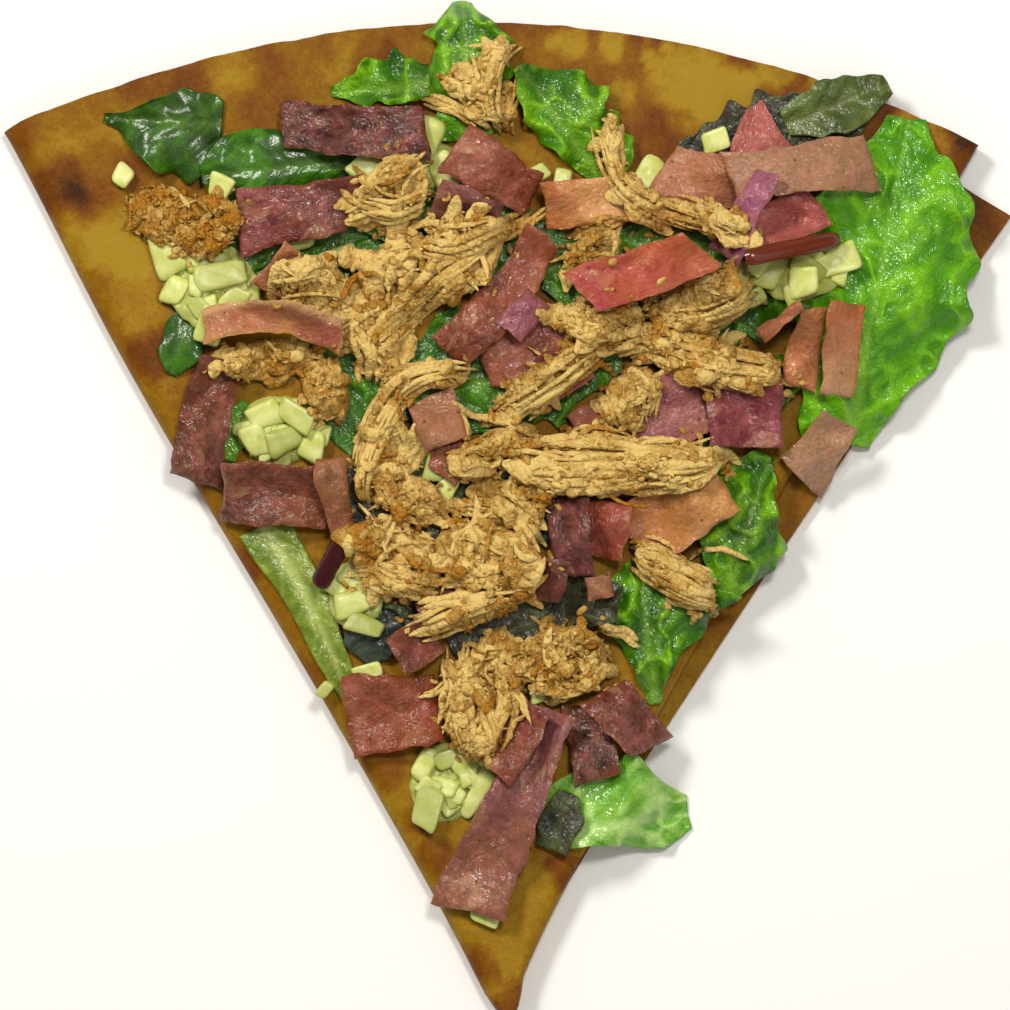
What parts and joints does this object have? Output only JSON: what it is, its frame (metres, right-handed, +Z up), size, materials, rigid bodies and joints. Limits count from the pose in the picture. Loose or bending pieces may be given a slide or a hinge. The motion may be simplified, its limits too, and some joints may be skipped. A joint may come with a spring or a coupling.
{
  "type": "savory crepe",
  "caption": "Thin round crepe folded into a wedge and topped with salad leaves, grated cheese, sliced ham and pulled chicken.",
  "frame": {"origin": "on the flat underside of the folded crepe, under the middle of the wedge's bounding box", "axes": "+Z up out of the toppings, +Y from the wedge's tip towards its curved rim, +X to the right as seen from above"},
  "size_m": [0.2022, 0.2023, 0.0292],
  "materials": {
    "crepe": "golden pan-fried batter, browned in lace and spots",
    "lettuce": "bright green leaf, waxy and blistered",
    "dark_leaf": "dark green to purple leaf, glossy",
    "stem": "dark red leaf stalk, glossy",
    "ham_red": "moist dark pink ham, grained and marbled",
    "ham_tan": "moist tan ham, browned at its edges",
    "chicken": "dry, fibrous, golden pulled chicken",
    "cheese": "pale yellow grated cheese, slightly oily"
  },
  "bodies": {
    "root": {"cheese_bottom": "cheese", "cheese_left": "cheese", "cheese_left_middle": "cheese", "cheese_lower_left": "cheese", "cheese_right": "cheese", "cheese_top": "cheese", "chicken_centre": "chicken", "chicken_flake": "chicken", "chicken_hook": "chicken", "chicken_left_middle": "chicken", "chicken_left_top": "chicken", "chicken_lower": "chicken", "chicken_right": "chicken", "chicken_small_right": "chicken", "chicken_top": "chicken", "chicken_upper": "chicken", "crepe": "crepe", "ham_bottom_left": "ham_red", "ham_bottom_long": "ham_red", "ham_bottom_middle": "ham_red", "ham_bottom_right": "ham_red", "ham_centre_low": "ham_red", "ham_centre_red": "ham_red", "ham_centre_strip": "ham_red", "ham_centre_tan": "ham_tan", "ham_left_arch": "ham_tan", "ham_left_band": "ham_red", "ham_left_curl": "ham_tan", "ham_left_flat": "ham_red", "ham_left_upper": "ham_red", "ham_lower_dark": "ham_red", "ham_lower_red": "ham_red", "ham_lower_tan": "ham_tan", "ham_right_back": "ham_tan", "ham_right_edge": "ham_tan", "ham_right_fold": "ham_red", "ham_right_lilac": "ham_red", "ham_right_long": "ham_tan", "ham_right_pale": "ham_tan", "ham_right_pink": "ham_tan", "ham_right_red": "ham_red", "ham_right_square": "ham_red", "ham_right_tip": "ham_red", "ham_top_left": "ham_red", "ham_top_middle": "ham_red", "leaf_left_small": "dark_leaf", "lettuce_bottom": "lettuce", "lettuce_lower_right": "lettuce", "lettuce_middle_right": "lettuce", "lettuce_right": "lettuce", "lettuce_stalk": "lettuce", "lettuce_top": "lettuce", "lettuce_top_left": "lettuce", "lettuce_top_middle": "lettuce", "oak_leaf_left": "dark_leaf", "oak_leaf_right": "dark_leaf", "spinach_inner": "dark_leaf", "spinach_left": "lettuce", "stem_beet": "stem", "stem_chard": "stem"}
  },
  "joints": []
}
